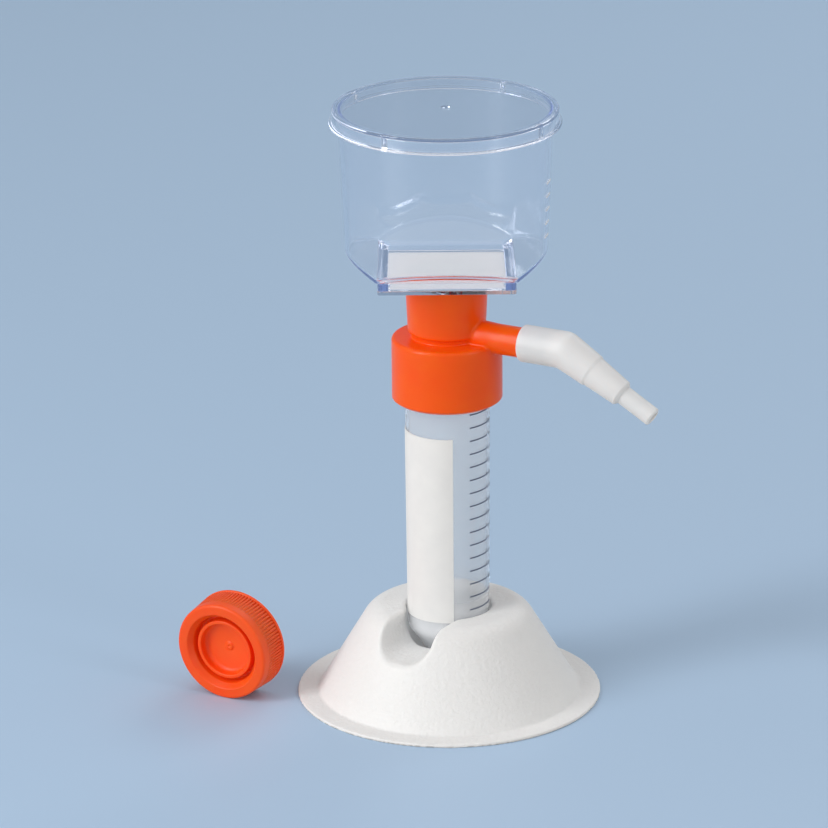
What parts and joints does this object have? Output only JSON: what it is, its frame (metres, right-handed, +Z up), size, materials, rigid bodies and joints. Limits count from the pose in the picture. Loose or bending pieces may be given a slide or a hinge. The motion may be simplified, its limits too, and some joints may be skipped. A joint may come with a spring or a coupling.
{
  "type": "vacuum filtration unit",
  "caption": "Lidded clear funnel with a filter membrane, screwed on a conical sample tube in a moulded stand, with a swivelling hose connector and the tube's screw cap.",
  "frame": {"origin": "on the bench, at the middle of the stand's foot, on the axis of the stand, tube and funnel", "axes": "+Z up along the tube's axis, -Y towards the side with the writing patch, +X towards the side with the hose connector"},
  "size_m": [0.162, 0.1036, 0.208],
  "materials": {
    "stand_white": "fine grained, matte",
    "tube_clear": "clear, polished",
    "funnel_clear": "clear, polished",
    "orange": "glossy, slightly see-through at thin edges",
    "connector_white": "natural, milky",
    "ink_white": "screen printed",
    "ink_blue": "screen printed",
    "seal_rubber": "soft, matte",
    "membrane_white": "porous sheet"
  },
  "bodies": {
    "tube_and_stand": {"stand": "stand_white", "tube": "tube_clear", "tube_patch": "ink_white", "tube_graduations": "ink_blue", "tube_cap": "orange"},
    "seal": {"neck_seal": "seal_rubber"},
    "filter_head": {"neck": "orange", "support_plate": "funnel_clear", "membrane": "membrane_white", "funnel": "funnel_clear", "funnel_graduations": "ink_white", "lid": "funnel_clear"},
    "connector": {"hose_connector": "connector_white"}
  },
  "joints": [
    {"name": "head_lift", "type": "slide", "parent": "tube_and_stand", "child": "seal", "axis": [0, 0, 1], "range_m": [0, 0.006]},
    {"name": "head_turn", "type": "hinge", "parent": "seal", "child": "filter_head", "pos_m": [0, 0, 0.1257], "axis": [0, 0, 1], "range_deg": [0, 540]},
    {"name": "connector_swivel", "type": "hinge", "parent": "filter_head", "child": "connector", "pos_m": [0, 0, 0.13006], "axis": [0.8746, -0.4848, 0], "continuous": true}
  ],
  "couplings": [
    {"joint": "head_lift", "follows": "head_turn", "m_per_rad": 0.000636}
  ]
}
